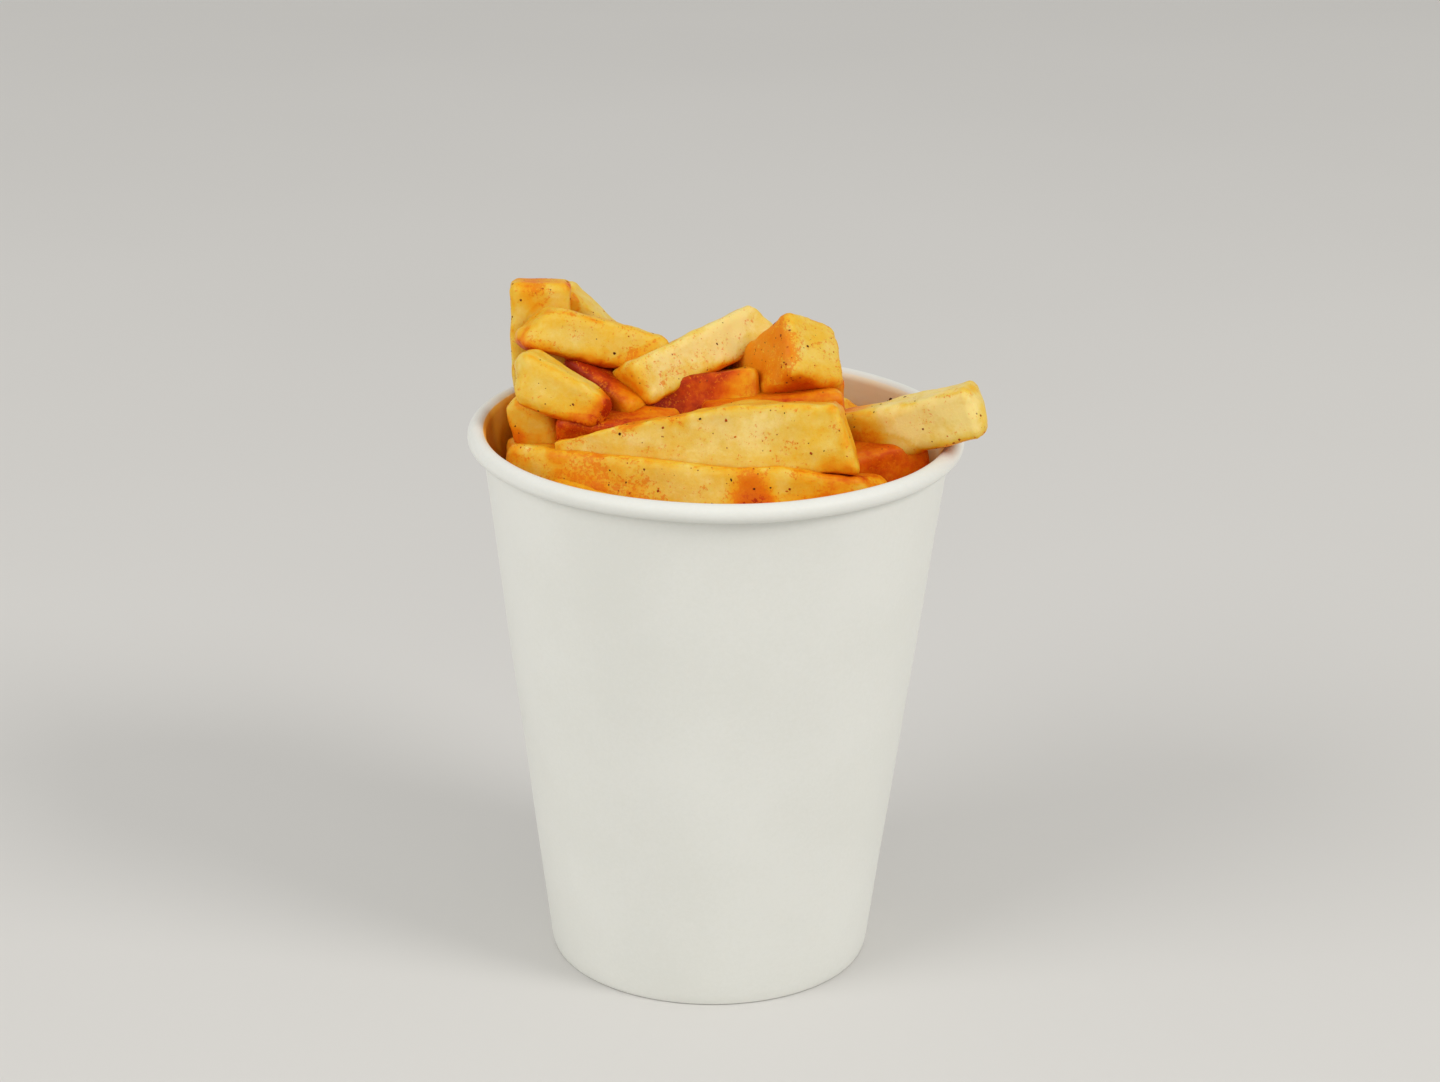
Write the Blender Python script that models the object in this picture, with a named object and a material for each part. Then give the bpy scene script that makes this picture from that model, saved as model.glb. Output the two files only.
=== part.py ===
"""Thick-cut seasoned chips heaped in a plain paper cup with a rolled rim.

Lengths below are millimetres, and MM turns them into metres. The cup's axis is vertical, the cup
stands on z = 0, and the front of the heap faces -Y.
"""
import math
from collections import namedtuple

import bmesh
import bpy
from mathutils import Matrix, Vector

MM = 0.001

# The cup, measured outside, and the sheet that it is made of.
CUP_HEIGHT = 91.0
RIM_DIAMETER = 80.0
ROLL_RADIUS = 1.5
NECK_RADIUS = 37.66
NECK_HEIGHT = 88.0
FOOT_DIAMETER = 53.0
PAPER = 0.5
GAP = 0.3
AROUND = 48

# The foot: the wall's fold stands inside the base's skirt, under the base.
FOLD_HEIGHT = 6.6
BASE_TOP = 8.0
SKIRT_LOW = 1.0

# One chip lies out over the rim, so the cup stands left of the middle of the whole.
CUP_X = -1.8

# The heap under the chips that show: its height at the wall and in the middle.
HEAP_EDGE = 80.0
HEAP_MIDDLE = 90.0
HEAP_RINGS = 4

# The rounding of a chip's edges, and the cuts across it that let it bend and taper.
CHIP_EDGE = 1.3
CHIP_CUTS = 3

# Points closer together than this are one point.
SAME_POINT = 0.01

# Edges that turn by more degrees than this look sharp.
PAPER_CREASE = 40
CHIP_CREASE = 25

Chip = namedtuple("Chip", "a b width height roll ends tip bend cut_a cut_b")


def chip(a, b, width, height, roll=0, ends=(1, 1), tip=0.4, bend=(0, 0), cut_a=(0, 0), cut_b=(0, 0)):
    """One chip from end a to end b.

    roll turns the section about the chip's length, in degrees, so that its side tilts up. ends are
    the sizes of the section at the two ends, as parts of the full one, which it reaches over tip of
    the length. bend is how far the middle stands off the straight line, sideways and upwards. The
    cuts slant the two ends.
    """
    return Chip(a, b, width, height, roll, ends, tip, bend, cut_a, cut_b)


# The chips that the front shows, from the front edge of the cup to the back.
FRONT_CHIPS = [
    chip((-33.3, -3.2, 84.5), (26.1, -18.3, 84.6), 10.8, 10.3, roll=14, ends=(0.8, 0.75), tip=0.25, bend=(5, -0.8),
         cut_b=(-1, 0)),
    chip((-25.4, -10.3, 90.2), (21.2, -14.4, 94.2), 10.6, 10.6, roll=14, ends=(0.2, 1), tip=0.65, bend=(0, 0.6),
         cut_b=(0, -1.5)),
    chip((19.5, -1.0, 89.5), (41.8, -13.0, 98.6), 8.6, 8.8, roll=2, ends=(0.65, 1), tip=0.5, cut_b=(1, 0)),
    chip((-32.0, -0.8, 99.6), (-17.3, -5.8, 94.2), 9, 9.6, roll=16, ends=(0.95, 0.55), tip=0.8, cut_a=(0, -1)),
    chip((-30.4, 1.0, 95.6), (-25.5, -0.5, 80.0), 6, 8),
    chip((-31.2, 7.0, 105.0), (-8.2, 9.2, 99.4), 9, 8, roll=16, ends=(1, 0.85), tip=0.8, cut_a=(0, 1.5)),
    chip((-14.0, 1.4, 96.2), (7.2, 19.2, 102.4), 8.6, 7.8, roll=30, cut_b=(0, -1)),
    chip((15.5, 3.9, 103.1), (2.4, 16.9, 89.3), 11.2, 11.6, roll=-25, ends=(1, 0.75), tip=0.9),
    chip((17.0, 13.0, 95.8), (16.0, 15.0, 80.0), 7, 7),
    chip((19.0, 11.0, 87.6), (29.5, 6.0, 88.4), 6, 5.5, roll=8),
    chip((-28.9, 15.2, 110.3), (-28.9, 13.6, 86.0), 10, 6.0, ends=(1, 0.75)),
    chip((-27.3, 21.5, 105.0), (-9.0, 22.0, 88.4), 8, 8.5),
]

# The chips down in the gaps between those.
INNER_CHIPS = [
    chip((-23.0, 10.0, 94.4), (-12.2, -0.6, 91.0), 9, 9, roll=10),
    chip((-14.0, 4.5, 91.8), (9.0, 6.0, 94.2), 9, 9, roll=18),
    chip((-4.0, -1.0, 91.0), (20.0, 3.0, 93.0), 10, 9, roll=6),
    chip((-21.0, -1.0, 89.0), (-6.0, -5.0, 90.0), 9, 8, roll=-6),
    chip((-12.5, -29.2, 82.0), (12.5, -29.4, 81.8), 8.5, 9, roll=15, ends=(0.9, 0.9), bend=(0.8, 0)),
    chip((15.0, -12.5, 85.5), (32.4, -7.4, 88.0), 8, 8.4),
    chip((-27.4, -14.5, 81.6), (-14.5, -26.0, 81.2), 8, 8.5, roll=-5, bend=(0, 0.6)),
    chip((-31.0, 3.5, 84.2), (-28.3, -9.0, 83.0), 7, 8),
    chip((-29.0, 6.0, 86.0), (-22.0, 21.6, 86.0), 8, 9, roll=-10),
    chip((23.6, -21.0, 81.6), (5.0, -22.0, 81.4), 8, 8.5, roll=6),
    chip((31.0, -3.0, 83.8), (28.2, 9.0, 83.4), 7, 8, roll=5),
]

# The chips at the back of the heap, which finish it in the same way.
BACK_CHIPS = [
    chip((30.2, 3.5, 83.4), (21.6, 22.0, 83.0), 8, 9, roll=-8),
    chip((18.6, 26.2, 84.6), (-4.0, 30.8, 85.8), 9, 9.5, roll=10, ends=(0.9, 1)),
    chip((12.0, 23.0, 90.0), (-8.0, 28.0, 91.5), 9, 8, roll=-12, bend=(0, 1)),
    chip((-7.0, 30.4, 84.5), (-26.4, 19.2, 86.0), 9, 9.5, roll=8, ends=(1, 0.85)),
    chip((-3.0, 24.0, 92.5), (-22.0, 23.0, 89.0), 8, 8, roll=25),
    chip((8.5, 30.0, 95.5), (5.0, 25.5, 78.0), 8.5, 7),
    chip((-18.6, 27.2, 93.5), (-15.0, 23.0, 78.0), 7.5, 8),
    chip((22.5, 17.5, 83.6), (9.0, 19.0, 91.5), 8, 8.5, roll=20),
    chip((-10.0, 16.0, 92.5), (6.0, 24.5, 93.0), 9, 8, roll=8),
    chip((14.0, 20.0, 92.0), (16.0, 26.6, 81.0), 7, 8),
]


def finish(name, colour, roughness):
    """A plain surface of one colour, given as linear red, green and blue."""
    material = bpy.data.materials.new(name)
    material.use_nodes = True
    shader = material.node_tree.nodes["Principled BSDF"]
    shader.inputs["Base Color"].default_value = (*colour, 1.0)
    shader.inputs["Roughness"].default_value = roughness
    shader.inputs["Metallic"].default_value = 0.0
    return material


def new_object(name, bm, parent=None, material=None):
    """An object made from bm, whose lengths are millimetres."""
    bmesh.ops.scale(bm, vec=(MM, MM, MM), verts=bm.verts)
    mesh = bpy.data.meshes.new(name)
    bm.to_mesh(mesh)
    bm.free()
    thing = bpy.data.objects.new(name, mesh)
    thing.parent = parent
    bpy.context.scene.collection.objects.link(thing)
    if material:
        mesh.materials.append(material)
    return thing


def smooth(thing, crease):
    thing.data.shade_smooth()
    thing.data.set_sharp_from_angle(angle=math.radians(crease))


def wall_radius(z):
    """The outside radius of the cup's wall at height z."""
    foot = FOOT_DIAMETER / 2
    return foot + (NECK_RADIUS - foot) * z / NECK_HEIGHT


def sheet_outline(path):
    """A closed outline, one sheet thick, along a path of (radius, height) points."""
    points = [Vector(p) for p in path]
    runs = [(b - a).normalized() for a, b in zip(points, points[1:])]
    sides = ([], [])
    for k, point in enumerate(points):
        before = runs[max(k - 1, 0)]
        after = runs[min(k, len(runs) - 1)]
        along = (before + after).normalized()
        across = Vector((-along.y, along.x)) * (PAPER / 2 / along.dot(after))
        sides[0].append(point + across)
        sides[1].append(point - across)
    return sides[0] + sides[1][::-1]


def turn(outline):
    """The closed outline of (radius, height) points, spun round the cup's axis."""
    bm = bmesh.new()
    verts = [bm.verts.new((radius, 0, height)) for radius, height in outline]
    edges = [bm.edges.new(pair) for pair in zip(verts, verts[1:] + verts[:1])]
    bmesh.ops.spin(bm, geom=verts + edges, cent=(0, 0, 0), axis=(0, 0, 1), angle=math.tau,
                   steps=AROUND, use_merge=True)
    bmesh.ops.remove_doubles(bm, verts=bm.verts, dist=SAME_POINT)
    bmesh.ops.dissolve_degenerate(bm, edges=bm.edges, dist=SAME_POINT)
    bmesh.ops.recalc_face_normals(bm, faces=bm.faces)
    return bm


def rolled_rim():
    """Points round the roll, from the wall over the top, out, and back in under it."""
    centre = Vector((RIM_DIAMETER / 2 - ROLL_RADIUS, CUP_HEIGHT - ROLL_RADIUS))
    radius = ROLL_RADIUS - PAPER / 2
    start, end, steps = 180, -92, 9
    angles = [math.radians(start + (end - start) * k / steps) for k in range(steps + 1)]
    return [centre + radius * Vector((math.cos(angle), math.sin(angle))) for angle in angles]


def make_sidewall(parent, material):
    """One sheet: folded in and up at the foot, straight up the wall, and rolled out at the rim."""
    middle = PAPER / 2
    folded_in = 2 * (PAPER + GAP) + middle
    path = [
        (wall_radius(FOLD_HEIGHT) - folded_in, FOLD_HEIGHT),
        (wall_radius(0) - folded_in, middle),
        (wall_radius(0) - middle, middle),
        (NECK_RADIUS - middle, NECK_HEIGHT),
    ]
    wall = new_object("cup_sidewall", turn(sheet_outline(path + rolled_rim())), parent, material)
    smooth(wall, PAPER_CREASE)


def make_base(parent, material):
    """A disc whose edge turns down into the foot, between the wall and its fold."""
    edge = PAPER + GAP
    top = wall_radius(BASE_TOP) - edge
    low = wall_radius(SKIRT_LOW) - edge
    outline = [
        (0, BASE_TOP - PAPER), (top - PAPER, BASE_TOP - PAPER), (low - PAPER, SKIRT_LOW),
        (low, SKIRT_LOW), (top, BASE_TOP), (0, BASE_TOP),
    ]
    base = new_object("cup_base", turn(outline), parent, material)
    smooth(base, PAPER_CREASE)


def make_heap(parent, material):
    """The chips under those that show, as one solid that fills the cup and domes up above it."""
    inside = PAPER + GAP
    low = BASE_TOP + GAP
    outline = [(0, low), (wall_radius(low) - inside, low), (wall_radius(HEAP_EDGE) - inside, HEAP_EDGE)]
    edge = wall_radius(HEAP_EDGE) - inside
    for k in range(1, HEAP_RINGS + 1):
        part = k / HEAP_RINGS
        rise = math.sin(part * math.pi / 2)
        outline.append((edge * (1 - part), HEAP_EDGE + (HEAP_MIDDLE - HEAP_EDGE) * rise))
    return new_object("fries", turn(outline), parent, material)


def chip_frame(one):
    """The chip's long direction and the two across it, turned by its roll."""
    along = (Vector(one.b) - Vector(one.a)).normalized()
    side = along.cross(Vector((0, 0, 1))).normalized()
    turned = Matrix.Rotation(math.radians(-one.roll), 3, along)
    return along, turned @ side, turned @ side.cross(along)


def chip_size(one, t):
    """The size of the chip's section at t of its length, as a part of the full one."""
    from_a = one.ends[0] + (1 - one.ends[0]) * min(1, t / one.tip)
    from_b = one.ends[1] + (1 - one.ends[1]) * min(1, (1 - t) / one.tip)
    return from_a * from_b


def make_chip(one, parent):
    """A square bar with rounded edges, cut across, then bent and tapered to its place."""
    length = (Vector(one.b) - Vector(one.a)).length
    bm = bmesh.new()
    bmesh.ops.create_cube(bm, size=1.0)
    bmesh.ops.scale(bm, vec=(length, one.width, one.height), verts=bm.verts)
    bmesh.ops.bevel(bm, geom=bm.edges[:], offset=CHIP_EDGE, affect="EDGES", segments=1, profile=0.5,
                    material=-1)
    for k in range(CHIP_CUTS):
        place = length * ((k + 1) / (CHIP_CUTS + 1) - 0.5)
        bmesh.ops.bisect_plane(bm, geom=bm.verts[:] + bm.edges[:] + bm.faces[:], dist=SAME_POINT,
                               plane_co=(place, 0, 0), plane_no=(1, 0, 0))
    along, side, up = chip_frame(one)
    for vert in bm.verts:
        t = vert.co.x / length + 0.5
        size = chip_size(one, min(max(t, 0), 1))
        i = 2 * vert.co.y / one.width
        j = 2 * vert.co.z / one.height
        arch = 4 * t * (1 - t)
        slant = (1 - t) * (i * one.cut_a[0] + j * one.cut_a[1]) + t * (i * one.cut_b[0] + j * one.cut_b[1])
        middle = Vector(one.a).lerp(Vector(one.b), t) + arch * (one.bend[0] * side + one.bend[1] * up)
        vert.co = middle + size * (vert.co.y * side + vert.co.z * up) + slant * along
    bmesh.ops.recalc_face_normals(bm, faces=bm.faces)
    return new_object("chip", bm, parent)


def signed_volume(faces):
    """The volume that the faces close, which is negative for a hollow inside a solid."""
    total = 0.0
    for face in faces:
        corners = [vert.co for vert in face.verts]
        for b, c in zip(corners[1:], corners[2:]):
            total += corners[0].dot(b.cross(c)) / 6
    return total


def keep_outer_skin(mesh):
    """Fill the hollows shut in between the chips, and drop anything that lies loose."""
    bm = bmesh.new()
    bm.from_mesh(mesh)
    left = set(bm.faces)
    skins = []
    while left:
        skin = {left.pop()}
        edge_of_skin = list(skin)
        while edge_of_skin:
            face = edge_of_skin.pop()
            near = {other for edge in face.edges for other in edge.link_faces} - skin
            skin |= near
            edge_of_skin += near
        left -= skin
        skins.append(skin)
    skins.sort(key=signed_volume)
    for skin in skins[:-1]:
        bmesh.ops.delete(bm, geom=list(skin), context="FACES")
    bm.to_mesh(mesh)
    bm.free()


def fuse(heap, chips):
    """Join the chips to the heap as one solid."""
    together = bpy.data.collections.new("chips")
    bpy.context.scene.collection.children.link(together)
    for one in chips:
        together.objects.link(one)
    union = heap.modifiers.new("union", "BOOLEAN")
    union.operation = "UNION"
    union.operand_type = "COLLECTION"
    union.collection = together
    union.solver = "EXACT"
    joined = bpy.data.meshes.new_from_object(heap.evaluated_get(bpy.context.evaluated_depsgraph_get()))
    heap.modifiers.remove(union)
    heap.data = joined
    for one in chips:
        bpy.data.objects.remove(one)
    bpy.data.collections.remove(together)
    keep_outer_skin(joined)


for old in list(bpy.data.objects):
    bpy.data.objects.remove(old)

cup_axis = bpy.data.objects.new("cup_axis", None)
cup_axis.location.x = CUP_X * MM
bpy.context.scene.collection.objects.link(cup_axis)

paper = finish("white_paper", (0.72, 0.73, 0.67), 0.6)
potato = finish("fried_potato", (0.74, 0.42, 0.10), 0.45)

make_sidewall(cup_axis, paper)
make_base(cup_axis, paper)
fries = make_heap(cup_axis, potato)
fuse(fries, [make_chip(one, cup_axis) for one in FRONT_CHIPS + INNER_CHIPS + BACK_CHIPS])
smooth(fries, CHIP_CREASE)
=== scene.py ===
import math
import random

import bmesh
import bpy
from mathutils import Matrix, Vector, noise
from mathutils.bvhtree import BVHTree


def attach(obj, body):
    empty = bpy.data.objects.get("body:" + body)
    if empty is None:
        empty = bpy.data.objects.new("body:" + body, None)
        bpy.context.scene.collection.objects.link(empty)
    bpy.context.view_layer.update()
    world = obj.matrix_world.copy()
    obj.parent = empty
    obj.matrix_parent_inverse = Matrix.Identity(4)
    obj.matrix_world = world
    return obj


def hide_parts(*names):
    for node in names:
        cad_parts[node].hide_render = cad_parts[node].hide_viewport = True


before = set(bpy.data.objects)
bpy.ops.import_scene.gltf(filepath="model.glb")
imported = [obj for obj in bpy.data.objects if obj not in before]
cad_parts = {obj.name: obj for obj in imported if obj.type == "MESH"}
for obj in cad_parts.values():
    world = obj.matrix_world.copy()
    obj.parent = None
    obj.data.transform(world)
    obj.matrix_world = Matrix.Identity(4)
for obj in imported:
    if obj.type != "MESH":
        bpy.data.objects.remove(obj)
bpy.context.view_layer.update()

# The view: from in front of the cup and a little above its rim, as fitted to the cup's outline.
# Points below are millimetres from the cup's axis, which stands at CUP_X in the frame.
MM = 0.001
CUP_X = -1.8
SENSOR_WIDTH = 36.0
FOCAL_LENGTH = 83.8
EYE_IN_FRONT = 513.4
EYE_HEIGHT = 259.5
PITCH, YAW, ROLL = (math.radians(angle) for angle in (20.162, 0.101, 0.822))

scene = bpy.context.scene
scene.view_settings.view_transform = "Standard"
lens = bpy.data.cameras.new("camera")
lens.sensor_fit = "HORIZONTAL"
lens.sensor_width = SENSOR_WIDTH
lens.lens = FOCAL_LENGTH
camera = bpy.data.objects.new("camera", lens)
camera.matrix_world = (Matrix.Translation(Vector((CUP_X, -EYE_IN_FRONT, EYE_HEIGHT)) * MM)
                       @ Matrix.Rotation(-YAW, 4, "Z")
                       @ Matrix.Rotation(math.pi / 2 - PITCH, 4, "X")
                       @ Matrix.Rotation(ROLL, 4, "Z"))
scene.collection.objects.link(camera)
scene.camera = camera


# The cup's wall: one sheet of coated white paper, rolled out at the rim, lapped in a seam at the
# back, and folded in under the foot. It is a spun outline with the seam's step moved in after.
PAPER = 0.5
GAP = 0.3
CUP_HEIGHT = 91.0
RIM_RADIUS = 40.0
ROLL_RADIUS = 1.5
ROLL_START, ROLL_SWEEP, ROLL_STEPS = 180, 285, 22
NECK_RADIUS = 37.66
NECK_HEIGHT = 88.0
FOOT_RADIUS = 26.5
FOLD_HEIGHT = 6.6
WALL_HEIGHTS = (2, 4, 6.5, 9, 12, 16, 20, 26, 32, 38, 44, 50, 56, 62, 68, 73, 77, 80, 82, 84, 85.5, 87, 88)
AROUND = 240

# The seam, in degrees round the cup: its place, its two edges, and how near to an edge the points
# are drawn together.
SEAM_ANGLE = 90.0
SEAM_EDGES = (-5.0, 5.0)
SEAM_REACH = 3.0
LAP_STEP = 0.28

# Where grease stains the inside of the wall, and where warm light bounced from the chips is painted on it: each
# one's middle and reach, in degrees.
LEFT_STAIN_AND_BOUNCE = (172, 75)
BACK_STAIN_AND_BOUNCE = (60, 70)
RIGHT_STAIN_AND_BOUNCE = (-20, 30)


def node(tree, kind, inputs=None, **settings):
    """A shader node. Its inputs are values, or the sockets that feed them."""
    made = tree.nodes.new("ShaderNode" + kind)
    for name, value in settings.items():
        setattr(made, name, value)
    for name, value in (inputs or {}).items():
        if isinstance(value, bpy.types.NodeSocket):
            tree.links.new(value, made.inputs[name])
        else:
            made.inputs[name].default_value = value
    return made


def ramp(tree, value, stops):
    """Colours (linear) or levels along a value from 0 to 1."""
    made = node(tree, "ValToRGB", {"Fac": value})
    made.color_ramp.interpolation = "EASE" if len(stops) < 3 else "LINEAR"
    points = made.color_ramp.elements
    while len(points) < len(stops):
        points.new(1.0)
    for point, (place, colour) in zip(points, stops):
        point.position = place
        point.color = (*colour, 1.0) if isinstance(colour, tuple) else (colour, colour, colour, 1.0)
    return made.outputs["Color"]


def math_node(tree, operation, a, b, clamp=False):
    return node(tree, "Math", {0: a, 1: b}, operation=operation, use_clamp=clamp).outputs[0]


def blend(tree, share, a, b):
    """Colour a turning into colour b as share goes from 0 to 1."""
    return node(tree, "Mix", {0: share, 6: a, 7: b}, data_type="RGBA").outputs[2]


def noise_at(tree, place, scale, detail=3.0, roughness=0.5):
    return node(tree, "TexNoise", {"Vector": place, "Scale": scale, "Detail": detail,
                                   "Roughness": roughness}).outputs["Fac"]


def attribute(tree, name):
    return node(tree, "Attribute", attribute_name=name).outputs["Fac"]


def new_material(name):
    material = bpy.data.materials.new(name)
    material.use_nodes = True
    tree = material.node_tree
    place = node(tree, "TexCoord").outputs["Object"]
    return material, tree, tree.nodes["Principled BSDF"], place


def coated_paper():
    material, tree, shader, place = new_material("coated_white_paper")
    cloud = noise_at(tree, place, 45.0, 4.0)
    fibre = noise_at(tree, place, 1500.0, 5.0, 0.65)
    tone = math_node(tree, "ADD", math_node(tree, "MULTIPLY", cloud, 0.6),
                     math_node(tree, "MULTIPLY", fibre, 0.4))
    white = ramp(tree, tone, [(0.35, (0.765, 0.77, 0.72)), (0.65, (0.80, 0.805, 0.76))])
    # The inside is tinted partly by real grease stains and partly with painted warm light bounced from the
    # chips.
    grease = math_node(tree, "MULTIPLY", attribute(tree, "grease"),
                       math_node(tree, "ADD", noise_at(tree, place, 160.0, 4.0), 0.5), clamp=True)
    stain_and_bounce = ramp(tree, grease, [(0.0, (0.96, 0.88, 0.70)), (0.3, (0.94, 0.76, 0.42)),
                                (0.55, (0.92, 0.54, 0.13)), (1.0, (0.95, 0.48, 0.03))])
    shown = math_node(tree, "MULTIPLY", grease, 2.2, clamp=True)
    tree.links.new(blend(tree, shown, white, stain_and_bounce), shader.inputs["Base Color"])
    dry = math_node(tree, "ADD", 0.46, math_node(tree, "MULTIPLY", fibre, 0.18))
    rough = math_node(tree, "SUBTRACT", dry, math_node(tree, "MULTIPLY", grease, 0.2))
    tree.links.new(rough, shader.inputs["Roughness"])
    shader.inputs["Subsurface Weight"].default_value = 0.08
    shader.inputs["Subsurface Radius"].default_value = (0.6, 0.5, 0.4)
    shader.inputs["Subsurface Scale"].default_value = 0.0006
    height = math_node(tree, "ADD", math_node(tree, "MULTIPLY", fibre, 0.5), cloud)
    bump = node(tree, "Bump", {"Height": height, "Strength": 0.12, "Distance": 0.0002})
    tree.links.new(bump.outputs["Normal"], shader.inputs["Normal"])
    return material


def wall_radius(z):
    """The outside radius of the wall at height z."""
    return FOOT_RADIUS + (NECK_RADIUS - FOOT_RADIUS) * z / NECK_HEIGHT


def sheet_outline(path, thickness):
    """A closed outline, one sheet thick, along a path of (radius, height) points."""
    points = [Vector(p) for p in path]
    runs = [(b - a).normalized() for a, b in zip(points, points[1:])]
    sides = ([], [])
    for k, point in enumerate(points):
        before, after = runs[max(k - 1, 0)], runs[min(k, len(runs) - 1)]
        along = (before + after).normalized()
        across = Vector((-along.y, along.x)) * (thickness / 2 / max(along.dot(after), 0.7))
        sides[0].append(point + across)
        sides[1].append(point - across)
    return sides[0] + sides[1][::-1]


def turn(outline, steps):
    """The closed outline spun once round the cup's axis, in millimetres."""
    bm = bmesh.new()
    verts = [bm.verts.new((radius, 0, height)) for radius, height in outline]
    edges = [bm.edges.new(pair) for pair in zip(verts, verts[1:] + verts[:1])]
    bmesh.ops.spin(bm, geom=verts + edges, cent=(0, 0, 0), axis=(0, 0, 1), angle=math.tau,
                   steps=steps, use_merge=True)
    bmesh.ops.remove_doubles(bm, verts=bm.verts, dist=0.003)
    bmesh.ops.dissolve_degenerate(bm, edges=bm.edges, dist=0.003)
    bmesh.ops.recalc_face_normals(bm, faces=bm.faces)
    return bm


def settle(name, bm, material, slot, crease=None, replaces=(), **levels):
    """The finished mesh in metres as a piece of the object, with its levels for each vertex."""
    for vert in bm.verts:
        vert.co = Vector((vert.co.x + CUP_X, vert.co.y, vert.co.z)) * MM
    mesh = bpy.data.meshes.new(name)
    bm.to_mesh(mesh)
    bm.free()
    for level, values in levels.items():
        mesh.attributes.new(level, "FLOAT", "POINT").data.foreach_set("value", values)
    mesh.materials.append(material)
    mesh.shade_smooth()
    if crease:
        mesh.set_sharp_from_angle(angle=math.radians(crease))
    piece = bpy.data.objects.new(name, mesh)
    scene.collection.objects.link(piece)
    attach(piece, "root")
    if replaces:
        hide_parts(*replaces)


def between(low, high, value):
    """0 up to low, 1 from high, and a soft step between."""
    part = min(max((value - low) / (high - low), 0.0), 1.0)
    return part * part * (3 - 2 * part)


def degrees_off(angle, middle):
    """How far an angle is from a middle one, from -180 to 180 degrees."""
    return (angle - middle + 180) % 360 - 180


def stain_and_bounce_share(angle, stain_and_bounce):
    """1 in the middle of a stain and its painted bounce light, falling to 0 at its reach."""
    middle, reach = stain_and_bounce
    return max(0.0, 1 - abs(degrees_off(angle, middle)) / reach)


paper = coated_paper()

folded_in = 2 * (PAPER + GAP) + PAPER / 2
roll_centre = Vector((RIM_RADIUS - ROLL_RADIUS, CUP_HEIGHT - ROLL_RADIUS))
roll = [roll_centre + (ROLL_RADIUS - PAPER / 2) * Vector((math.cos(angle), math.sin(angle)))
        for angle in (math.radians(ROLL_START - ROLL_SWEEP * k / ROLL_STEPS) for k in range(ROLL_STEPS + 1))]
outer_foot = FOOT_RADIUS - PAPER / 2
path = [(wall_radius(FOLD_HEIGHT) - folded_in, FOLD_HEIGHT),
        (wall_radius(3) - folded_in, 3.0),
        (wall_radius(0) - folded_in, 0.7),
        (wall_radius(0) - folded_in + 0.15, 0.35),
        (wall_radius(0) - folded_in + 0.5, PAPER / 2),
        (outer_foot - 0.5, PAPER / 2),
        (outer_foot - 0.12, 0.36),
        (outer_foot + 0.03, 0.75)]
path += [(wall_radius(z) - PAPER / 2, z) for z in WALL_HEIGHTS]
bm = turn(sheet_outline(path + roll, PAPER), AROUND)
for vert in bm.verts:
    x, y, z = vert.co
    radius = math.hypot(x, y)
    off_seam = degrees_off(math.degrees(math.atan2(y, x)), SEAM_ANGLE)
    # Columns of points are drawn together at the seam's two edges, so that the step is crisp.
    for edge in SEAM_EDGES:
        near = off_seam - edge
        if abs(near) < SEAM_REACH:
            off_seam = edge + near * (0.08 + 0.92 * between(0.9, SEAM_REACH, abs(near)))
    angle = math.radians(off_seam + SEAM_ANGLE)
    # The sheet's outer end lies on top, and its inner end under it.
    if radius > wall_radius(z) - PAPER / 2:
        radius += LAP_STEP * between(-5.1, -4.95, off_seam) * (1 - between(-4.0, 9.0, off_seam)) * (z > 0.6)
    elif z > FOLD_HEIGHT + 2:
        radius -= LAP_STEP * (1 - between(4.95, 5.1, off_seam)) * between(-9.0, 4.0, off_seam)
    wave = noise.noise(Vector((x, y, z)) * 0.045) * 0.16 * between(4, 20, z) * (1 - between(76, 88, z))
    radius += wave
    lift = noise.noise(Vector((x, y, 0)) * 0.05) * 0.1 * between(80, 90, z)
    vert.co = (radius * math.cos(angle), radius * math.sin(angle), z + lift)

# The tint inside the wall is partly grease and partly painted warm light bounced from the chips, most of all the
# pale tint over the whole inside.
grease = []
for vert in bm.verts:
    x, y, z = vert.co
    inside = math.hypot(x, y) < wall_radius(min(z, NECK_HEIGHT)) - PAPER * 0.55 and z > 60
    angle = math.degrees(math.atan2(y, x))
    ragged = noise.noise(vert.co * 0.22) * 2.5 + noise.noise(vert.co * 0.7)
    low = 1 - between(82.0, 90.2, z + ragged)
    left = stain_and_bounce_share(angle, LEFT_STAIN_AND_BOUNCE) ** 0.5 * (0.8 + 0.2 * low)
    back = 0.25 + stain_and_bounce_share(angle, BACK_STAIN_AND_BOUNCE) * 0.4 * (1 - between(79.0, 86.5, z + ragged))
    right = stain_and_bounce_share(angle, RIGHT_STAIN_AND_BOUNCE) ** 0.4 * (1 - between(90.0, 91.0, z + 0.2 * ragged))
    grease.append(max(left, back, right, 0.4 * low) if inside else 0.0)
settle("cup_wall", bm, paper, "cup_paper", crease=50, replaces=["cup_sidewall"], grease=grease)


# The cup's base: a round of the same paper, its edge turned down between the wall and the fold.
# It is a spun outline, and its flat middle is waved a little, as paper is.
BASE_TOP = 8.0
SKIRT_MIDDLE = 4.0
SKIRT_LOW = 1.0
BASE_AROUND = 120

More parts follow.
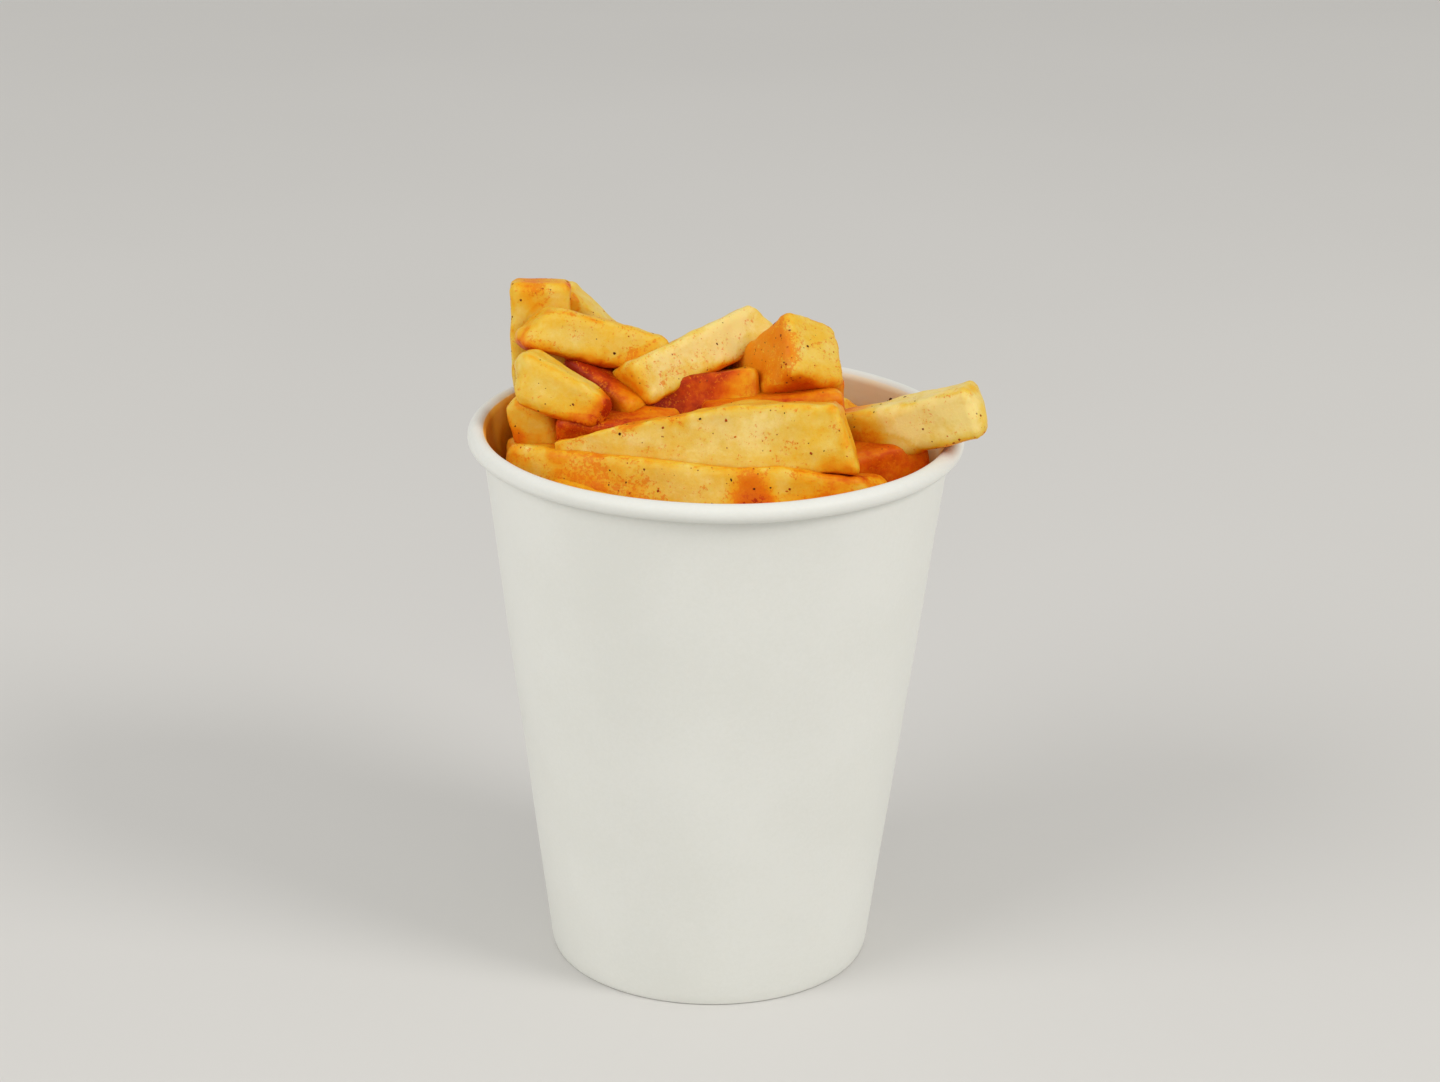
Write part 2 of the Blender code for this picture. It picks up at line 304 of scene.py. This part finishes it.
inset = PAPER + GAP
bend_radius = wall_radius(BASE_TOP) - inset
outline = [(0.0, BASE_TOP - PAPER),
           (bend_radius - 1.6, BASE_TOP - PAPER),
           (bend_radius - 0.9, BASE_TOP - PAPER - 0.2),
           (bend_radius - PAPER - 0.05, BASE_TOP - 1.2),
           (wall_radius(SKIRT_MIDDLE) - inset - PAPER, SKIRT_MIDDLE),
           (wall_radius(SKIRT_LOW) - inset - PAPER, SKIRT_LOW),
           (wall_radius(SKIRT_LOW) - inset, SKIRT_LOW),
           (wall_radius(SKIRT_MIDDLE) - inset, SKIRT_MIDDLE),
           (bend_radius - 0.05, BASE_TOP - 0.8),
           (bend_radius - 0.35, BASE_TOP - 0.25),
           (bend_radius - 1.0, BASE_TOP),
           (0.0, BASE_TOP)]
bm = turn(outline, BASE_AROUND)
spokes = [edge for edge in bm.edges
          if abs(edge.verts[0].co.z - edge.verts[1].co.z) < 0.01 and edge.calc_length() > 10]
bmesh.ops.subdivide_edges(bm, edges=spokes, cuts=12)
for vert in bm.verts:
    flat = 1 - between(20.0, 24.0, math.hypot(vert.co.x, vert.co.y))
    vert.co.z += flat * noise.noise(Vector((vert.co.x, vert.co.y, 0)) * 0.08) * 0.2
settle("cup_base_round", bm, paper, "cup_paper", crease=50, replaces=["cup_base"], grease=[0.0] * len(bm.verts))


# The chips' flesh: fried potato, cream where it was covered and golden to deep orange where oil
# and ground spice gathered. Every chip carries its own levels of toast, with painted shade added
# in, and of spice in its mesh.
def swing(tree, level, amount):
    """A level from 0 to 1 as a swing of amount about nothing."""
    return math_node(tree, "MULTIPLY", math_node(tree, "SUBTRACT", level, 0.5), amount)


def fried_potato():
    material, tree, shader, place = new_material("fried_potato")
    toast, spice = attribute(tree, "toast"), attribute(tree, "spice")
    cloud = noise_at(tree, place, 170.0, 2.0, 0.5)
    mottle = noise_at(tree, place, 640.0, 5.0, 0.68)
    grain = noise_at(tree, place, 2400.0, 3.0, 0.6)
    uneven = math_node(tree, "ADD", swing(tree, cloud, 0.42), swing(tree, mottle, 0.46))
    cooked_and_shaded = math_node(tree, "ADD", toast, uneven, clamp=True)
    flesh = ramp(tree, cooked_and_shaded, [
        (0.00, (0.86, 0.67, 0.23)), (0.15, (0.81, 0.57, 0.11)), (0.30, (0.80, 0.49, 0.042)),
        (0.45, (0.82, 0.38, 0.010)), (0.60, (0.78, 0.24, 0.002)), (0.75, (0.68, 0.12, 0.001)),
        (0.88, (0.54, 0.055, 0.001)), (1.00, (0.36, 0.022, 0.001))])
    dust_noise = noise_at(tree, place, 1900.0, 3.0, 0.75)
    patch = noise_at(tree, place, 420.0, 2.0)
    dusted = math_node(tree, "ADD", math_node(tree, "MULTIPLY", spice, 0.30),
                       math_node(tree, "ADD", dust_noise, math_node(tree, "MULTIPLY", patch, 0.5)))
    dust = ramp(tree, dusted, [(0.93, 0.0), (1.12, 0.7)])
    flesh = blend(tree, dust, flesh, (0.76, 0.19, 0.002, 1.0))
    cells = node(tree, "TexVoronoi", {"Vector": place, "Scale": 900.0, "Randomness": 1.0})
    near = math_node(tree, "LESS_THAN", cells.outputs["Distance"], 0.12)
    chance = node(tree, "SeparateColor", {"Color": cells.outputs["Color"]}).outputs[0]
    chance = math_node(tree, "ADD", chance, math_node(tree, "MULTIPLY", spice, 0.3))
    speck = math_node(tree, "MULTIPLY", near, math_node(tree, "GREATER_THAN", chance, 0.97))
    flesh = blend(tree, math_node(tree, "MULTIPLY", speck, 0.8), flesh, (0.22, 0.045, 0.006, 1.0))
    tree.links.new(flesh, shader.inputs["Base Color"])
    rough = math_node(tree, "ADD", 0.34, math_node(tree, "MULTIPLY", mottle, 0.30))
    tree.links.new(rough, shader.inputs["Roughness"])
    shader.inputs["Specular IOR Level"].default_value = 0.13
    shader.inputs["Subsurface Weight"].default_value = 0.30
    shader.inputs["Subsurface Radius"].default_value = (1.0, 0.5, 0.12)
    shader.inputs["Subsurface Scale"].default_value = 0.0024
    shader.inputs["Coat Weight"].default_value = 0.04
    shader.inputs["Coat Roughness"].default_value = 0.2
    height = math_node(tree, "ADD", math_node(tree, "MULTIPLY", mottle, 0.9),
                       math_node(tree, "MULTIPLY", grain, 0.45))
    height = math_node(tree, "ADD", height, math_node(tree, "MULTIPLY", dust, 0.35))
    bump = node(tree, "Bump", {"Height": height, "Strength": 0.34, "Distance": 0.00032})
    tree.links.new(bump.outputs["Normal"], shader.inputs["Normal"])
    return material


def section_at(t, ends, tip):
    """The size of a chip's section at t of its length, as a part of the full one."""
    from_a = ends[0] + (1 - ends[0]) * min(1, t / tip)
    from_b = ends[1] + (1 - ends[1]) * min(1, (1 - t) / tip)
    return from_a * from_b


def domed(reach, distance):
    """How far the section closes in near an end that is rounded over reach."""
    if distance >= reach:
        return 1.0
    return math.sqrt(max(1 - (1 - distance / reach) ** 2, 0.0))


def spread(patches, spot):
    """The sum of the soft round patches (x, z, radius, amount) at a point."""
    total = 0.0
    for x, z, radius, amount in patches:
        total += amount * (1 - between(0.35, 1.0, math.hypot(spot.x - x, spot.z - z) / radius))
    return total


chips = []


def cut_chip(name, a, b, width, height, roll=0, ends=(1, 1), tip=0.4, bend=(0, 0), cut_a=(0, 0), cut_b=(0, 0),
             dome=(0, 0), edge=1.7, sink=0.35, lumps=1.0, step=0.42, front=0.3, back=0.35, top=0.35, under=0.6,
             end_a=0.35, end_b=0.35, contact_oil_and_shade=0.24, patches=(), spice=0.25, spiced=()):
    """A bar of potato, cut from a to b: a block with rounded edges, tapered, bent and made uneven.

    The section is width by height, turned by roll degrees so that its front tilts up. It tapers to
    ends over tip of the length, and the cuts slant its two ends, which dome rounds. bend is how far
    the middle stands off the straight line. front to end_b are how toasted the six faces are, and
    the deeper level of the underside is painted shade. contact is how much more toasted they are
    where the chip touches another, partly as oil and spice gathered there and partly as painted
    shade. The patches and the spiced patches add to the toast and to the spice, and some toast
    patches are painted shade.
    """
    a, b = Vector(a), Vector(b)
    length = (b - a).length
    size = Vector((length, width, height))
    along = (b - a).normalized()
    side = along.cross(Vector((0, 0, 1))).normalized()
    turned = Matrix.Rotation(math.radians(-roll), 3, along)
    up = turned @ side.cross(along)
    side = turned @ side
    bm = bmesh.new()
    bmesh.ops.create_cube(bm, size=1.0)
    bmesh.ops.scale(bm, vec=size, verts=bm.verts)
    for axis in range(3):
        runs = [line for line in bm.edges
                if abs(line.verts[1].co[axis] - line.verts[0].co[axis]) > size[axis] / 2]
        bmesh.ops.subdivide_edges(bm, edges=runs, cuts=round(size[axis] / step), use_grid_fill=True)
    toast, dusting, rough_edge = [], [], []
    seed = Vector((len(chips) * 7.3, 0.0, 0.0))
    for vert in bm.verts:
        place = vert.co.copy()
        k, i, j = (2 * place[n] / size[n] for n in range(3))
        across = sorted((abs(k), abs(i), abs(j)))[1]
        sharp = between(0.72, 1.0, across)
        core = Vector([min(max(place[n], edge - size[n] / 2), size[n] / 2 - edge) for n in range(3)])
        off = place - core
        if off.length > 0:
            place = core + off.normalized() * edge
        t = min(max(place.x / length + 0.5, 0.0), 1.0)
        scale = section_at(t, ends, tip)
        for reach, distance in ((dome[0], t * length), (dome[1], (1 - t) * length)):
            if reach:
                scale *= 0.35 + 0.65 * domed(reach, distance)
        hollow = 1 - sink * (1 - min(abs(i), abs(j)) ** 2) * (1 - max(0.0, abs(k) - 0.8) * 5) * 0.12
        arch = 4 * t * (1 - t)
        slant = (1 - t) * (i * cut_a[0] + j * cut_a[1]) + t * (i * cut_b[0] + j * cut_b[1])
        middle = a.lerp(b, t) + arch * (bend[0] * side + bend[1] * up)
        vert.co = middle + scale * hollow * (place.y * side + place.z * up) + slant * along
        weights = [max(side_of, 0.0) ** 5 for side_of in (i, -i, j, -j, -k * abs(k) ** 3, k * abs(k) ** 3)]
        tone = sum(w * level for w, level in zip(weights, (front, back, top, under, end_a, end_b)))
        toast.append(tone / sum(weights))
        dusting.append(spice)
        rough_edge.append(sharp)
    bm.normal_update()
    moves = []
    for n, vert in enumerate(bm.verts):
        spot = vert.co
        wander = spot + seed
        lump = noise.noise(wander * 0.15) * 0.50 + noise.noise(wander * 0.36) * 0.22
        ragged = noise.noise(wander * 0.95) * 0.15 + noise.noise(wander * 2.4) * 0.06
        fine = noise.noise(wander * 1.5) * 0.04
        moves.append(vert.normal * (lumps * (lump + fine) + rough_edge[n] * ragged))
        toast[n] += spread(patches, spot) + rough_edge[n] * (0.03 + 0.32 * noise.noise(wander * 0.45))
        dusting[n] += spread(spiced, spot) + rough_edge[n] * 0.12
    for vert, move in zip(bm.verts, moves):
        vert.co += move
    chips.append({"name": name, "bm": bm, "toast": toast, "spice": dusting, "contact_oil_and_shade": contact_oil_and_shade})


# The long chip lying in front, just behind the rim: orange and dusted on its left, cream in its
# middle, with an orange patch right of that, and more golden towards its lower edge.
# The patch at its right is deeper partly as painted shade.
cut_chip("rim_front_chip", (-33.3, -3.2, 84.5), (26.1, -18.3, 84.6), 10.8, 10.3, roll=14, ends=(0.8, 0.75),
         tip=0.25, bend=(5, -0.8), cut_b=(-1, 0), dome=(2.0, 3.0), front=0.24, back=0.5, top=0.40, under=0.5,
         end_a=0.25, end_b=0.5, contact_oil_and_shade=0.10,
         patches=[(-22, 87, 8, 0.10), (-16, 84, 8, 0.10), (-10, 83, 6, 0.06), (5.8, 87, 4.6, 0.42),
                  (7, 83, 5, 0.25), (18, 84, 10, 0.22), (-2, 81, 6, 0.10), (-3, 87, 6, -0.10)],
         spice=0.20, spiced=[(-20, 86, 8, 0.5), (-12, 86, 5, 0.4), (5.8, 87, 5, 0.7), (-29, 87, 4, 0.2),
                             (16, 86, 8, 0.2)])

# The wedge on top of it, thin at its left end: a cream face under a thin rough orange edge.
cut_chip("wedge_chip", (-25.4, -10.3, 90.0), (21.2, -14.4, 93.9), 10.8, 11.4, roll=14, ends=(0.2, 1), tip=0.65,
         bend=(0, 0.6), cut_b=(0, -1.5), edge=1.4, front=0.09, back=0.5, top=0.44, under=0.3, end_a=0.3,
         end_b=0.40, contact_oil_and_shade=0.06,
         patches=[(15, 94, 7, 0.14), (19, 90, 4, 0.2), (-13, 95.5, 2.6, 0.2), (-6, 97, 2.4, 0.2)],
         spice=0.12, spiced=[(-22, 93, 4, 0.2), (-15, 95.5, 3.5, 0.5), (11, 94, 5, 0.25), (-7, 97.5, 3, 0.4)])

# The chip that lies out over the rim on the right: a pale face, and a round end.
# Its left end, deeper in the heap, is painted orange as shade.
cut_chip("overhanging_chip", (20.0, -1.6, 89.0), (41.8, -13.0, 98.6), 8.6, 8.8, roll=2, ends=(1.1, 1), tip=0.5,
         cut_b=(1, 0), dome=(0, 1.8), edge=2.0, front=0.0, back=0.3, top=0.06, under=0.55, end_a=0.6,
         end_b=0.16, contact_oil_and_shade=0.12,
         patches=[(22, 92, 6.5, 0.5), (26, 87.5, 5, 0.36), (36, 91, 3, 0.1)],
         spice=0.10, spiced=[(21, 91, 5, 0.3), (36, 91, 3, 0.2)])

# The chip at the left with a round end, golden and then orange towards its right end and its underside, partly
# as painted shade.
cut_chip("left_end_chip", (-32.0, -0.8, 99.6), (-17.3, -5.8, 94.2), 9, 9.6, roll=16, ends=(0.95, 0.55), tip=0.8,
         cut_a=(0, -1), dome=(2.6, 1.2), edge=2.4, front=0.20, back=0.5, top=0.24, under=0.58, end_a=0.14,
         end_b=0.6, contact_oil_and_shade=0.12,
         patches=[(-16.6, 95.2, 4.4, 0.5), (-21, 93.4, 4.2, 0.3), (-26, 92.6, 4, 0.12)], spice=0.10,
         spiced=[(-21, 95, 4, 0.2), (-18, 93, 4, 0.3)])

# The small chip standing under that one, behind the long one in front.
cut_chip("small_left_chip", (-30.4, 1.0, 95.6), (-25.5, -0.5, 80.0), 6, 8, dome=(1.6, 0), edge=2.0,
         front=0.30, back=0.4, top=0.3, under=0.55, end_a=0.26, contact_oil_and_shade=0.08,
         patches=[(-32, 89, 2.4, 0.3)], spice=0.15, spiced=[(-32, 88, 3, 0.4)])

# The long chip above the left end, running down to the middle, its round end orange below.
cut_chip("long_left_chip", (-31.2, 7.0, 105.0), (-8.2, 9.2, 99.4), 9, 8, roll=16, ends=(1, 0.85), tip=0.8,
         cut_a=(0, 1.5), dome=(4.2, 0), edge=2.2, front=0.26, back=0.5, top=0.30, under=0.62, end_a=0.40,
         end_b=0.3, contact_oil_and_shade=0.10,
         patches=[(-31, 100, 4.5, 0.2), (-22, 97, 6, 0.12), (-13, 98, 5, 0.04), (-24, 103, 3.5, -0.06)],
         spice=0.16, spiced=[(-14, 102, 6, 0.2), (-30, 101, 4, 0.25), (-22, 107, 5, 0.2)])

# The long chip in the middle, its cut end towards the front: a cream face with many specks, an
# orange end, deep red underneath as painted shade, and glassy at its far end.
cut_chip("central_chip", (-14.0, 1.4, 96.2), (7.2, 19.2, 102.4), 8.6, 7.8, roll=30, cut_b=(0, -1), dome=(0, 2.0),
         edge=1.7, front=0.03, back=0.5, top=0.14, under=0.66, end_a=0.48, end_b=0.30, contact_oil_and_shade=0.12,
         patches=[(-12, 99, 3.5, 0.08), (-2, 97, 6, 0.08), (6, 104, 3, 0.12), (2, 103, 7, -0.06)], spice=0.14,
         spiced=[(-9, 98, 7, 0.15), (0, 98, 6, 0.15)])

# The chip with a spiced face, its yellow end towards the front.
cut_chip("spiced_chip", (16.0, 3.9, 102.8), (2.4, 16.5, 89.5), 11.4, 11.8, roll=-24, ends=(1, 0.75), tip=0.9,
         edge=1.9, front=0.42, back=0.42, top=0.34, under=0.54, end_a=0.26, contact_oil_and_shade=0.06,
         patches=[(10.5, 104, 3.0, 0.10), (15, 97.0, 4, 0.10), (19, 102, 3, -0.06)], spice=0.3,
         spiced=[(8, 103, 6.5, 0.9), (3, 97, 6, 0.9), (11, 97, 4, 0.4)])

# Two small chips in the gap on the right: a sliver, and one lying low behind the rim.
# The sliver, down in the gap, is painted deep orange as its shade.
cut_chip("right_sliver", (17.0, 13.0, 95.8), (16.0, 15.0, 80.0), 7, 7, front=0.62, back=0.6, top=0.6, under=0.6,
         end_a=0.62, spice=0.4)
cut_chip("small_right_chip", (19.0, 11.0, 87.6), (29.5, 6.0, 88.4), 6, 5.5, roll=8, edge=1.5, front=0.32,
         top=0.24, under=0.6, contact_oil_and_shade=0.12, spice=0.5)

# The tall chip and the one leaning on it, at the back on the left.
cut_chip("tall_chip", (-28.9, 15.2, 110.3), (-28.9, 13.6, 86.0), 10, 6.0, ends=(1, 0.75), edge=1.5, lumps=0.7,
         front=0.34, back=0.4, top=0.17, under=0.4, end_a=0.44, contact_oil_and_shade=0.10,
         patches=[(-30, 108.5, 3.5, 0.24), (-31.5, 101, 4, 0.08), (-26, 105, 3.5, -0.05)], spice=0.14,
         spiced=[(-29, 109.5, 3.5, 0.5)])
cut_chip("leaning_chip", (-27.3, 21.5, 105.0), (-9.0, 22.0, 88.4), 8, 8.5, edge=1.6, front=0.20, top=0.20,
         under=0.5, spice=0.06)

# The chips down in the gaps between those, their deeper tones painted shade of the gaps: the first
# four are deep red, and the sixth deep orange. Each row gives the two ends, width, height, roll,
# bend and the ends' sizes, then how toasted the chip is, and how toasted it is towards its second
# end.
GAP_CHIPS = [
    ((-23.5, 9.0, 96.2), (-12.2, -0.6, 91.0), 9, 9, 10, (0, 0), (1, 1), 0.92, 0.5),
    ((-14.0, 4.5, 92.2), (7.0, 6.0, 94.4), 9, 9, 18, (0, 0), (1, 1), 0.90, 0.46),
    ((-2.0, -1.0, 90.4), (20.0, 3.0, 92.4), 10, 9, 6, (0, 0), (1, 1), 0.66, 0.62),
    ((-25.0, -2.2, 90.2), (-6.0, -5.0, 90.0), 9, 8, -6, (0, 0), (1, 1), 0.80, 0.66),
    ((-12.5, -29.2, 82.0), (12.5, -29.4, 81.8), 8.5, 9, 15, (0.8, 0), (0.9, 0.9), 0.35, 0.35),
    ((15.0, -12.5, 86.0), (33.4, -6.8, 88.2), 8, 8.4, 0, (0, 0), (1, 1), 0.72, 0.70),
    ((-27.4, -14.5, 81.6), (-14.5, -26.0, 81.2), 8, 8.5, -5, (0, 0.6), (1, 1), 0.40, 0.4),
    ((-31.0, 3.5, 84.2), (-28.3, -9.0, 83.0), 7, 8, 0, (0, 0), (1, 1), 0.40, 0.4),
    ((-29.0, 6.0, 86.0), (-22.0, 21.6, 86.0), 8, 9, -10, (0, 0), (1, 1), 0.35, 0.3),
    ((23.6, -21.0, 81.6), (5.0, -22.0, 81.4), 8, 8.5, 6, (0, 0), (1, 1), 0.45, 0.4),
    ((31.0, -3.0, 83.8), (28.2, 9.0, 83.4), 7, 8, 5, (0, 0), (1, 1), 0.35, 0.3),
]
for n, (a, b, width, height, roll_angle, bend, ends, deep, end) in enumerate(GAP_CHIPS):
    cut_chip(f"gap_chip_{n + 1}", a, b, width, height, roll=roll_angle, bend=bend, ends=ends, step=0.6,
             front=deep, back=deep, top=deep, under=deep + 0.06, end_a=deep, end_b=deep, contact_oil_and_shade=0.06, spice=0.3,
             patches=[(b[0], b[2], 9, end - deep)])

# The chips at the back of the heap, cut and fried like the ones in front.
BACK_CHIPS = [
    ((30.2, 3.5, 83.4), (21.6, 22.0, 83.0), 8, 9, -8, (0, 0), (1, 1)),
    ((18.6, 26.2, 84.6), (-4.0, 30.8, 85.8), 9, 9.5, 10, (0, 0), (0.9, 1)),
    ((12.0, 23.0, 90.0), (-8.0, 28.0, 91.5), 9, 8, -12, (0, 1), (1, 1)),
    ((-7.0, 30.4, 84.5), (-26.4, 19.2, 86.0), 9, 9.5, 8, (0, 0), (1, 0.85)),
    ((-3.0, 24.0, 92.5), (-22.0, 23.0, 89.0), 8, 8, 25, (0, 0), (1, 1)),
    ((8.5, 30.0, 95.5), (5.0, 25.5, 78.0), 8.5, 7, 0, (0, 0), (1, 1)),
    ((-18.6, 27.2, 93.5), (-15.0, 23.0, 78.0), 7.5, 8, 0, (0, 0), (1, 1)),
    ((22.5, 17.5, 83.6), (9.0, 19.0, 91.5), 8, 8.5, 20, (0, 0), (1, 1)),
    ((-10.0, 16.0, 92.5), (6.0, 24.5, 93.0), 9, 8, 8, (0, 0), (1, 1)),
    ((14.0, 20.0, 92.0), (16.0, 26.6, 81.0), 7, 8, 0, (0, 0), (1, 1)),
]
levels = random.Random(5)
for n, (a, b, width, height, roll_angle, bend, ends) in enumerate(BACK_CHIPS):
    tones = [levels.uniform(0.08, 0.4) for _ in range(6)]
    cut_chip(f"back_chip_{n + 1}", a, b, width, height, roll=roll_angle, bend=bend, ends=ends, step=0.55,
             front=tones[0], back=tones[1], top=tones[2], under=tones[3] + 0.3, end_a=tones[4], end_b=tones[5],
             spice=levels.uniform(0.1, 0.35))

# Under them is the rest of the helping, closed off just below the chips that show.
HEAP_EDGE, HEAP_MIDDLE = 79.0, 88.0
HEAP_RINGS = 12
HEAP_AROUND = 72
low = BASE_TOP + GAP + 0.2
rim_inside = wall_radius(HEAP_EDGE) - inset
outline = [(0.0, low), (wall_radius(low) - inset, low)]
outline += [(wall_radius(z) - inset - 0.1, z) for z in (30.0, 50.0, 65.0)]
for k in range(HEAP_RINGS + 1):
    part = k / HEAP_RINGS
    rise = (HEAP_MIDDLE - HEAP_EDGE) * math.sin(part * math.pi / 2)
    outline.append((rim_inside * (1 - part), HEAP_EDGE + rise))
bm = turn(outline, HEAP_AROUND)
bm.normal_update()
for vert in bm.verts:
    if vert.co.z > HEAP_EDGE - 5:
        vert.co -= vert.normal * abs(noise.noise(vert.co * 0.2)) * 1.5
count = len(bm.verts)
# Its deep orange-red is painted shade, for it shows only in the gaps between the chips.
chips.append({"name": "packed_chips", "bm": bm, "toast": [0.72] * count, "spice": [0.3] * count, "contact_oil_and_shade": 0.1})

# Where two chips are nearer than TOUCH, oil and spice gather, and both are deeper in colour, which
# also paints the shade between them. Chips low down in the cup are painted deeper too, as shade.
TOUCH = 1.7
LOW_DOWN = 86.0
for one in chips:
    one["tree"] = BVHTree.FromBMesh(one["bm"])
    corners = [vert.co for vert in one["bm"].verts]
    one["low"] = Vector([min(c[n] for c in corners) for n in range(3)])
    one["high"] = Vector([max(c[n] for c in corners) for n in range(3)])
for one in chips:
    near = [other for other in chips if other is not one
            and all(one["low"][n] - TOUCH < other["high"][n] and other["low"][n] - TOUCH < one["high"][n]
                    for n in range(3))]
    one["free"] = []
    for n, vert in enumerate(one["bm"].verts):
        closest = TOUCH
        for other in near:
            hit = other["tree"].find_nearest(vert.co, closest)
            if hit[0] is not None:
                inside = (vert.co - hit[0]).dot(hit[1]) < 0
                closest = 0.0 if inside else min(closest, hit[3])
        one["free"].append(closest)
        touch = 1 - closest / TOUCH
        one["toast"][n] += one["contact_oil_and_shade"] * touch * touch + 0.008 * max(0.0, LOW_DOWN - vert.co.z)
        one["spice"][n] += 0.8 * one["contact_oil_and_shade"] * touch * touch

# The open faces of each chip that shows, where seasoning lies, are noted before its mesh is finished.
OPEN = 0.25
potato = fried_potato()
surfaces = []
for one in chips:
    faces = []
    for face in one["bm"].faces:
        free = min(one["free"][vert.index] for vert in face.verts)
        if free > OPEN:
            spice = sum(one["spice"][vert.index] for vert in face.verts) / len(face.verts)
            faces.append((face.calc_center_median(), face.normal.copy(), face.calc_area(), spice))
    if one["name"] != "packed_chips":
        surfaces.append(faces)
    settle(one["name"], one["bm"], potato, "fried_potato", toast=one["toast"], spice=one["spice"],
           replaces=["fries"])


# The seasoning: grains of ground pepper and of paprika, stuck to the chips by the oil. Each kind
# is one mesh of small uneven grains, thicker where a chip is more spiced.
FLATNESS = 0.5


def seasoning(name, dark, light):
    material, tree, shader, place = new_material(name)
    tone = math_node(tree, "ADD", attribute(tree, "shade"),
                     math_node(tree, "MULTIPLY", noise_at(tree, place, 3500.0, 2.0), 0.25), clamp=True)
    tree.links.new(ramp(tree, tone, [(0.1, dark), (1.0, light)]), shader.inputs["Base Color"])
    shader.inputs["Roughness"].default_value = 0.6
    shader.inputs["Specular IOR Level"].default_value = 0.1
    return material


def add_grain(bm, shades, spot, normal, size, draw):
    """One uneven grain about spot, as flat as FLATNESS of its size."""
    turned = normal.to_track_quat("Z", "Y").to_matrix().to_4x4()
    spin = Matrix.Rotation(draw.uniform(0, math.tau), 4, "Z")
    shape = Matrix.Diagonal((size, size * draw.uniform(0.55, 1.0), size * FLATNESS, 1.0))
    made = bmesh.ops.create_icosphere(bm, subdivisions=1, radius=1.0,
                                      matrix=Matrix.Translation(spot) @ turned @ spin @ shape)
    for vert in made["verts"]:
        vert.co = spot + (vert.co - spot) * draw.uniform(0.72, 1.25)
    shades += [draw.random()] * len(made["verts"])


def scatter(name, material, amount, sizes, seed):
    """Grains on all the chips: amount is how many lie on a square millimetre of a fully spiced face."""
    draw = random.Random(seed)
    bm = bmesh.new()
    shades = []
    for faces in surfaces:
        for spot, normal, area, spice in faces:
            facing = 0.35 + 0.65 * between(-0.5, 0.4, normal.z - 0.3 * normal.y)
            if draw.random() < amount * area * min(max(spice, 0.0), 1.0) * facing:
                size = sizes[0] + (sizes[1] - sizes[0]) * draw.random() ** 2.2
                add_grain(bm, shades, spot + normal * size * FLATNESS * 0.3, normal, size, draw)
    settle(name, bm, material, "fried_potato", shade=shades)


pepper = seasoning("ground_pepper", (0.060, 0.014, 0.003), (0.24, 0.06, 0.010))
paprika = seasoning("ground_paprika", (0.34, 0.045, 0.003), (0.70, 0.20, 0.010))
scatter("pepper_grains", pepper, 0.42, (0.08, 0.33), seed=11)
scatter("paprika_grains", paprika, 0.80, (0.07, 0.30), seed=23)

# A few crumbs of fried spice cling to the cup's wall at the back on the right.
CRUMBS = 34
CRUMBS_ANGLE, CRUMBS_HEIGHT = 37.0, 87.6
draw = random.Random(31)
bm = bmesh.new()
shades = []
for n in range(CRUMBS):
    spread_out = draw.random() ** 1.5
    angle = math.radians(CRUMBS_ANGLE + draw.uniform(-6.0, 6.0) * spread_out)
    z = CRUMBS_HEIGHT + draw.uniform(-2.4, 2.4) * spread_out
    radius = wall_radius(z) - PAPER
    spot = Vector((radius * math.cos(angle), radius * math.sin(angle), z))
    normal = Vector((-math.cos(angle), -math.sin(angle), 0.12)).normalized()
    add_grain(bm, shades, spot + normal * 0.1, normal, draw.uniform(0.2, 0.62), draw)
settle("wall_crumbs", bm, pepper, "fried_potato", shade=shades)


# The floor and the light: a plain pale surface, one broad soft light from the front on the right,
# a weaker one from the left, and a pale surround.
FLOOR_SIZE = 4.0
LIT_HEIGHT = 0.06
floor_mesh = bpy.data.meshes.new("floor")
bm = bmesh.new()
bmesh.ops.create_grid(bm, x_segments=2, y_segments=2, size=FLOOR_SIZE)
bm.to_mesh(floor_mesh)
bm.free()
floor = bpy.data.objects.new("floor", floor_mesh)
scene.collection.objects.link(floor)
material, tree, shader, place = new_material("pale_floor")
tree.links.new(ramp(tree, noise_at(tree, place, 3.0), [(0.3, (0.66, 0.65, 0.63)), (0.7, (0.68, 0.67, 0.65))]),
               shader.inputs["Base Color"])
shader.inputs["Roughness"].default_value = 0.8
floor_mesh.materials.append(material)

world = bpy.data.worlds.new("surround")
world.use_nodes = True
background = world.node_tree.nodes["Background"]
background.inputs["Color"].default_value = (1.0, 0.99, 0.965, 1.0)
background.inputs["Strength"].default_value = 0.60
scene.world = world


def soft_light(name, place, size, power, colour):
    """A round light of this size in metres and power in watts, turned to the middle of the cup."""
    data = bpy.data.lights.new(name, "AREA")
    data.shape = "DISK"
    data.size = size
    data.energy = power
    data.color = colour
    lamp = bpy.data.objects.new(name, data)
    lamp.location = place
    lamp.rotation_euler = (Vector((0, 0, LIT_HEIGHT)) - Vector(place)).to_track_quat("-Z", "Y").to_euler()
    scene.collection.objects.link(lamp)


soft_light("key_light", (1.08, -0.64, 0.98), 0.60, 9.0, (1.0, 0.98, 0.95))
soft_light("fill_light", (-1.00, -0.72, 0.90), 0.9, 7.7, (1.0, 0.99, 0.97))
